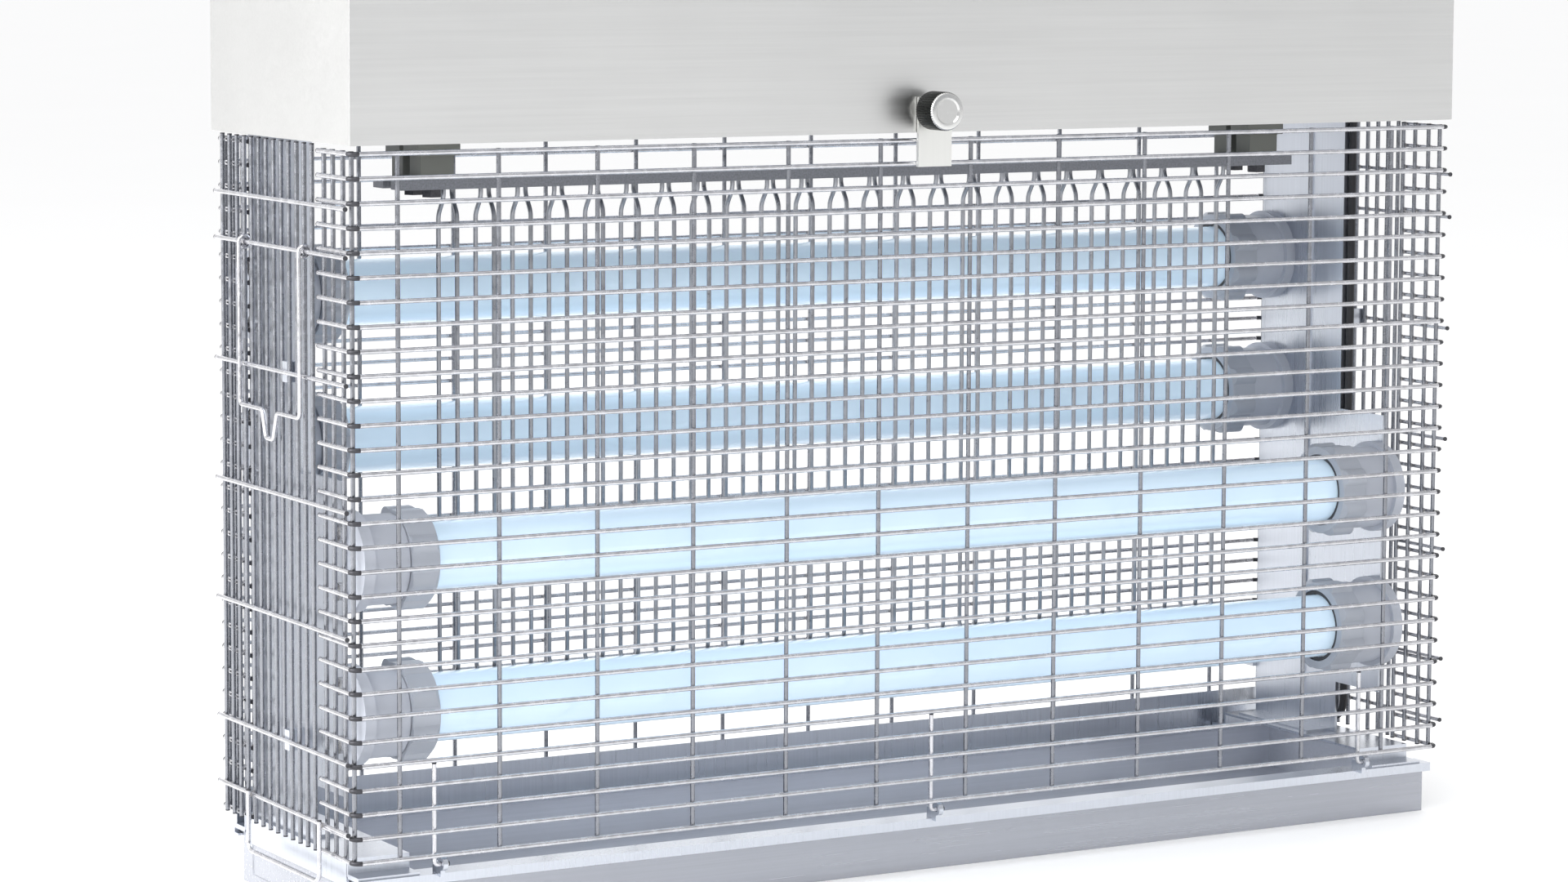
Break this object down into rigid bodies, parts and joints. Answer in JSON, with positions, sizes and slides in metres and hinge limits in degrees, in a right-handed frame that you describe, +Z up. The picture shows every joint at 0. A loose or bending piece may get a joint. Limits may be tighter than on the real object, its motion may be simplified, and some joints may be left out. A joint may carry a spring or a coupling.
{
  "type": "electric insect killer",
  "caption": "Hanging electric insect killer: sheet steel housing, wire cage, fluorescent lamps, high-voltage wire grid and sliding catch tray.",
  "frame": {"origin": "middle of the tray's flat underside, which the unit stands on", "axes": "+X to the right along the lamps, -Y to the front with the latch knob, +Z up"},
  "size_m": [0.5063, 0.1497, 0.387],
  "materials": {
    "housing_sheet": "vertical brushed, satin",
    "frame_sheet": "brushed, satin",
    "tray_sheet": "brushed, satin",
    "latch_sheet": "satin",
    "knob_steel": "turned and knurled",
    "cage_wire": "bright drawn wire",
    "grid_steel": "drawn wire",
    "rail_steel": "dull",
    "bolt_steel": "dark oxide",
    "screw_steel": "bright",
    "insulator": "moulded",
    "lamp_glass": "smooth, coated inside",
    "cap_metal": "satin",
    "holder_plastic": "fine moulded",
    "ring_plastic": "fine moulded",
    "seal_rubber": "matte",
    "cable_black": "sleeved",
    "gland_plastic": "moulded",
    "core_steel": "varnished laminations",
    "coil_tape": "taped winding",
    "ballast_case": "zinc",
    "terminal_plastic": "moulded"
  },
  "bodies": {
    "frame": {"housing_shell": "housing_sheet", "housing_floor": "frame_sheet", "hanger_plates": "frame_sheet", "cable_gland": "gland_plastic", "housing_screws": "screw_steel", "transformer_core": "core_steel", "transformer_coil": "coil_tape", "ballasts": "ballast_case", "terminal_block": "terminal_plastic", "latch_nut": "knob_steel", "end_post_left": "frame_sheet", "end_post_right": "frame_sheet", "foot_bracket_left": "frame_sheet", "foot_bracket_right": "frame_sheet", "runner_front": "frame_sheet", "runner_back": "frame_sheet", "lamp_cable": "cable_black", "tray_stirrup": "cage_wire", "rail_top_front": "rail_steel", "rail_top_back": "rail_steel", "rail_bottom_front": "rail_steel", "rail_bottom_back": "rail_steel", "grid_wires_front": "grid_steel", "grid_wires_back": "grid_steel", "insulators_top": "insulator", "insulators_bottom": "insulator", "rail_bolts": "bolt_steel", "holders_left": "holder_plastic", "holders_right": "holder_plastic", "holder_screws": "screw_steel", "ring_seals": "seal_rubber", "back_guard_face": "cage_wire", "back_guard_left": "cage_wire", "back_guard_right": "cage_wire", "side_guard_left": "cage_wire", "side_guard_right": "cage_wire", "guard_clips": "frame_sheet"},
    "front_guard": {"front_guard_face": "cage_wire", "front_guard_left": "cage_wire", "front_guard_right": "cage_wire", "latch_plate": "latch_sheet"},
    "knob": {"latch_knob": "knob_steel"},
    "tray": {"tray": "tray_sheet"},
    "flap": {"side_flap": "cage_wire"},
    "lamp_1": {"tube_1": "lamp_glass", "caps_1": "cap_metal"},
    "lamp_2": {"tube_2": "lamp_glass", "caps_2": "cap_metal"},
    "lamp_3": {"tube_3": "lamp_glass", "caps_3": "cap_metal"},
    "lamp_4": {"tube_4": "lamp_glass", "caps_4": "cap_metal"},
    "ring_1_left": {"ring_1_left": "ring_plastic"},
    "ring_1_right": {"ring_1_right": "ring_plastic"},
    "ring_2_left": {"ring_2_left": "ring_plastic"},
    "ring_2_right": {"ring_2_right": "ring_plastic"},
    "ring_3_left": {"ring_3_left": "ring_plastic"},
    "ring_3_right": {"ring_3_right": "ring_plastic"},
    "ring_4_left": {"ring_4_left": "ring_plastic"},
    "ring_4_right": {"ring_4_right": "ring_plastic"}
  },
  "joints": [
    {"name": "front_guard_hinge", "type": "hinge", "parent": "frame", "child": "front_guard", "pos_m": [0, -0.0624, 0.0255], "axis": [1, 0, 0], "range_deg": [0, 90]},
    {"name": "knob_turn", "type": "hinge", "parent": "front_guard", "child": "knob", "pos_m": [-0.007, -0.075, 0.302], "axis": [0, 1, 0], "continuous": true},
    {"name": "tray_slide", "type": "slide", "parent": "frame", "child": "tray", "axis": [1, 0, 0], "range_m": [0, 0.4]},
    {"name": "flap_swing", "type": "hinge", "parent": "frame", "child": "flap", "pos_m": [-0.2512, 0, 0.2525], "axis": [0, 1, 0], "range_deg": [0, 110]},
    {"name": "lamp_1_turn", "type": "hinge", "parent": "frame", "child": "lamp_1", "pos_m": [-0.004, -0.04, 0.138], "axis": [1, 0, 0], "range_deg": [0, 90]},
    {"name": "lamp_2_turn", "type": "hinge", "parent": "frame", "child": "lamp_2", "pos_m": [-0.004, -0.04, 0.0805], "axis": [1, 0, 0], "range_deg": [0, 90]},
    {"name": "lamp_3_turn", "type": "hinge", "parent": "frame", "child": "lamp_3", "pos_m": [-0.004, 0.04, 0.2305], "axis": [1, 0, 0], "range_deg": [0, 90]},
    {"name": "lamp_4_turn", "type": "hinge", "parent": "frame", "child": "lamp_4", "pos_m": [-0.004, 0.04, 0.173], "axis": [1, 0, 0], "range_deg": [0, 90]},
    {"name": "ring_1_left_turn", "type": "hinge", "parent": "frame", "child": "ring_1_left", "pos_m": [-0.217, -0.04, 0.138], "axis": [1, 0, 0], "range_deg": [0, 180]},
    {"name": "ring_1_right_turn", "type": "hinge", "parent": "frame", "child": "ring_1_right", "pos_m": [0.209, -0.04, 0.138], "axis": [-1, 0, 0], "range_deg": [0, 180]},
    {"name": "ring_2_left_turn", "type": "hinge", "parent": "frame", "child": "ring_2_left", "pos_m": [-0.217, -0.04, 0.0805], "axis": [1, 0, 0], "range_deg": [0, 180]},
    {"name": "ring_2_right_turn", "type": "hinge", "parent": "frame", "child": "ring_2_right", "pos_m": [0.209, -0.04, 0.0805], "axis": [-1, 0, 0], "range_deg": [0, 180]},
    {"name": "ring_3_left_turn", "type": "hinge", "parent": "frame", "child": "ring_3_left", "pos_m": [-0.217, 0.04, 0.2305], "axis": [1, 0, 0], "range_deg": [0, 180]},
    {"name": "ring_3_right_turn", "type": "hinge", "parent": "frame", "child": "ring_3_right", "pos_m": [0.209, 0.04, 0.2305], "axis": [-1, 0, 0], "range_deg": [0, 180]},
    {"name": "ring_4_left_turn", "type": "hinge", "parent": "frame", "child": "ring_4_left", "pos_m": [-0.217, 0.04, 0.173], "axis": [1, 0, 0], "range_deg": [0, 180]},
    {"name": "ring_4_right_turn", "type": "hinge", "parent": "frame", "child": "ring_4_right", "pos_m": [0.209, 0.04, 0.173], "axis": [-1, 0, 0], "range_deg": [0, 180]}
  ]
}
